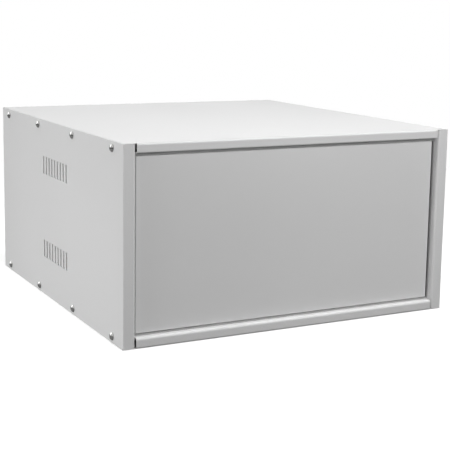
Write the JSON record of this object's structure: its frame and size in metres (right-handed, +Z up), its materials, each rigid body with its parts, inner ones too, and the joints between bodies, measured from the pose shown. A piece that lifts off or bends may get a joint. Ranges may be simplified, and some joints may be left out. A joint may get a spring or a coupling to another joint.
{
  "type": "wall-mount data cabinet",
  "caption": "Low wall-mount data cabinet of folded light grey sheet steel, with screwed vented side panels, a recessed hinged door and equipment rails inside.",
  "frame": {"origin": "middle of the case's underside, on the surface it stands on", "axes": "+Z up, -Y out of the door, +X to the right seen from the front, +Y into the wall"},
  "size_m": [0.548, 0.56, 0.285],
  "materials": {
    "case_paint": "light grey powder coat, satin, with a fine orange-peel texture",
    "door_paint": "light grey powder coat, smooth satin",
    "zinc_plate": "zinc plated, dull",
    "bright_nickel": "bright nickel plate",
    "nylon": "natural nylon",
    "edging_rubber": "black rubber, matt",
    "seal_foam": "grey cellular rubber, matt",
    "magnet_strip": "dark bonded magnet, matt",
    "earth_brass": "plain brass"
  },
  "bodies": {
    "case": {"top_panel": "case_paint", "bottom_panel": "case_paint", "left_side_panel": "case_paint", "right_side_panel": "case_paint", "rear_panel": "case_paint", "left_panel_screws": "bright_nickel", "right_panel_screws": "bright_nickel", "left_panel_nuts": "zinc_plate", "right_panel_nuts": "zinc_plate", "top_left_runner": "zinc_plate", "top_right_runner": "zinc_plate", "bottom_left_runner": "zinc_plate", "bottom_right_runner": "zinc_plate", "front_left_rail": "zinc_plate", "front_right_rail": "zinc_plate", "rear_left_rail": "zinc_plate", "rear_right_rail": "zinc_plate", "rail_bolts": "bright_nickel", "rail_nuts": "zinc_plate", "cable_edging": "edging_rubber", "earth_stud": "earth_brass", "earth_nut": "earth_brass", "top_pivot_bracket": "zinc_plate", "bottom_pivot_bracket": "zinc_plate", "top_pivot_pin": "bright_nickel", "bottom_pivot_pin": "bright_nickel", "pivot_washer": "nylon", "door_magnets": "magnet_strip", "door_seals": "seal_foam"},
    "door": {"door_panel": "door_paint", "door_stiffener": "door_paint", "top_pivot_bush": "nylon", "bottom_pivot_bush": "nylon"}
  },
  "joints": [
    {"name": "door_hinge", "type": "hinge", "parent": "case", "child": "door", "pos_m": [0.241, -0.264, 0.1425], "axis": [0, 0, 1], "range_deg": [0, 100]}
  ]
}
